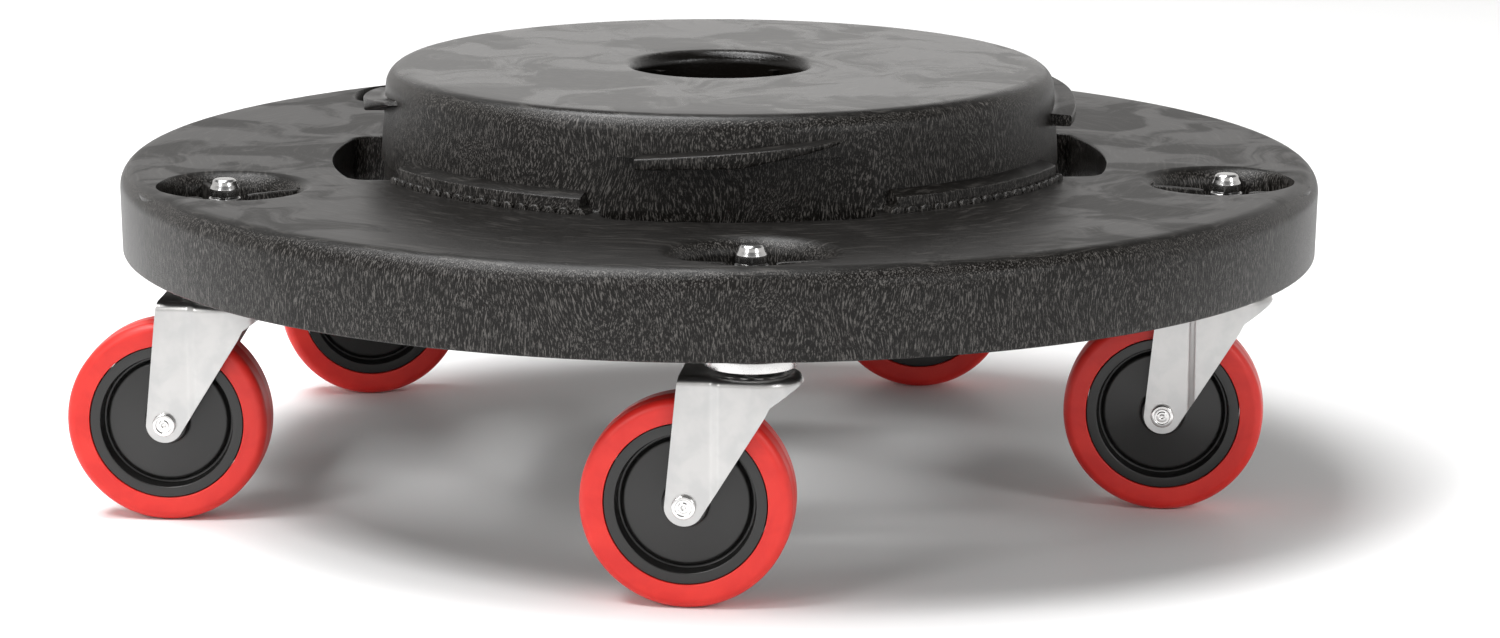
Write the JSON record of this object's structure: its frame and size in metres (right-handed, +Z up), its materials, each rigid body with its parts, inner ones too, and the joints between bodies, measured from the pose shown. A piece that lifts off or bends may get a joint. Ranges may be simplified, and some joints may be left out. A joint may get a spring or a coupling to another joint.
{
  "type": "furniture dolly",
  "caption": "Round moulded dolly with a raised twist-lock hub, a central hand hole, lock slots and swivel casters with red treads.",
  "frame": {"origin": "on the floor, under the middle of the whole dolly's box; the deck's own axis is 8.4 mm towards +X", "axes": "+Z up; +X to the right and +Y away, seen from the caster that stands at the front (-Y)"},
  "size_m": [0.4811, 0.4634, 0.1633],
  "materials": {
    "black_foam_plastic": "moulded structural foam, charcoal black with fine pale flow streaks and a satin sheen on its flats",
    "zinc_stem": "bright zinc plate, turned",
    "spring_steel": "bright spring steel",
    "zinc_race": "zinc-plated pressed steel",
    "ball_steel": "greased bearing steel",
    "zinc_fork": "bright zinc-plated pressed steel",
    "rivet_steel": "zinc-plated, peened heads",
    "sleeve_steel": "drawn steel tube",
    "black_nylon": "semi-gloss moulded black nylon",
    "red_tread": "smooth satin red polyurethane"
  },
  "bodies": {
    "deck_assembly": {"deck": "black_foam_plastic", "caster_1_stem": "zinc_stem", "caster_1_retaining_ring": "spring_steel", "caster_1_upper_race": "zinc_race", "caster_2_stem": "zinc_stem", "caster_2_retaining_ring": "spring_steel", "caster_2_upper_race": "zinc_race", "caster_3_stem": "zinc_stem", "caster_3_retaining_ring": "spring_steel", "caster_3_upper_race": "zinc_race", "caster_4_stem": "zinc_stem", "caster_4_retaining_ring": "spring_steel", "caster_4_upper_race": "zinc_race", "caster_5_stem": "zinc_stem", "caster_5_retaining_ring": "spring_steel", "caster_5_upper_race": "zinc_race"},
    "caster_1_fork_body": {"caster_1_fork": "zinc_fork", "caster_1_ball_ring": "ball_steel", "caster_1_axle_rivet": "rivet_steel", "caster_1_axle_sleeve": "sleeve_steel"},
    "caster_1_wheel": {"caster_1_wheel_hub": "black_nylon", "caster_1_wheel_tread": "red_tread"},
    "caster_2_fork_body": {"caster_2_fork": "zinc_fork", "caster_2_ball_ring": "ball_steel", "caster_2_axle_rivet": "rivet_steel", "caster_2_axle_sleeve": "sleeve_steel"},
    "caster_2_wheel": {"caster_2_wheel_hub": "black_nylon", "caster_2_wheel_tread": "red_tread"},
    "caster_3_fork_body": {"caster_3_fork": "zinc_fork", "caster_3_ball_ring": "ball_steel", "caster_3_axle_rivet": "rivet_steel", "caster_3_axle_sleeve": "sleeve_steel"},
    "caster_3_wheel": {"caster_3_wheel_hub": "black_nylon", "caster_3_wheel_tread": "red_tread"},
    "caster_4_fork_body": {"caster_4_fork": "zinc_fork", "caster_4_ball_ring": "ball_steel", "caster_4_axle_rivet": "rivet_steel", "caster_4_axle_sleeve": "sleeve_steel"},
    "caster_4_wheel": {"caster_4_wheel_hub": "black_nylon", "caster_4_wheel_tread": "red_tread"},
    "caster_5_fork_body": {"caster_5_fork": "zinc_fork", "caster_5_ball_ring": "ball_steel", "caster_5_axle_rivet": "rivet_steel", "caster_5_axle_sleeve": "sleeve_steel"},
    "caster_5_wheel": {"caster_5_wheel_hub": "black_nylon", "caster_5_wheel_tread": "red_tread"}
  },
  "joints": [
    {"name": "caster_1_swivel", "type": "hinge", "parent": "deck_assembly", "child": "caster_1_fork_body", "pos_m": [0.00839, -0.1987, 0.0848], "axis": [0, 0, 1], "continuous": true},
    {"name": "caster_1_spin", "type": "hinge", "parent": "caster_1_fork_body", "child": "caster_1_wheel", "pos_m": [-0.01321, -0.19509, 0.0381], "axis": [-0.165, -0.9863, 0], "continuous": true},
    {"name": "caster_2_swivel", "type": "hinge", "parent": "deck_assembly", "child": "caster_2_fork_body", "pos_m": [0.19736, -0.0614, 0.0848], "axis": [0, 0, 1], "continuous": true},
    {"name": "caster_2_spin", "type": "hinge", "parent": "caster_2_fork_body", "child": "caster_2_wheel", "pos_m": [0.1758, -0.0576, 0.0381], "axis": [-0.1736, -0.9848, 0], "continuous": true},
    {"name": "caster_3_swivel", "type": "hinge", "parent": "deck_assembly", "child": "caster_3_fork_body", "pos_m": [0.12518, 0.16075, 0.0848], "axis": [0, 0, 1], "continuous": true},
    {"name": "caster_3_spin", "type": "hinge", "parent": "caster_3_fork_body", "child": "caster_3_wheel", "pos_m": [0.10348, 0.16369, 0.0381], "axis": [-0.134, -0.991, 0], "continuous": true},
    {"name": "caster_4_swivel", "type": "hinge", "parent": "deck_assembly", "child": "caster_4_fork_body", "pos_m": [-0.1084, 0.16075, 0.0848], "axis": [0, 0, 1], "continuous": true},
    {"name": "caster_4_spin", "type": "hinge", "parent": "caster_4_fork_body", "child": "caster_4_wheel", "pos_m": [-0.13017, 0.15831, 0.0381], "axis": [0.1115, -0.9938, 0], "continuous": true},
    {"name": "caster_5_swivel", "type": "hinge", "parent": "deck_assembly", "child": "caster_5_fork_body", "pos_m": [-0.18059, -0.0614, 0.0848], "axis": [0, 0, 1], "continuous": true},
    {"name": "caster_5_spin", "type": "hinge", "parent": "caster_5_fork_body", "child": "caster_5_wheel", "pos_m": [-0.20232, -0.05873, 0.0381], "axis": [-0.1219, -0.9925, 0], "continuous": true}
  ]
}
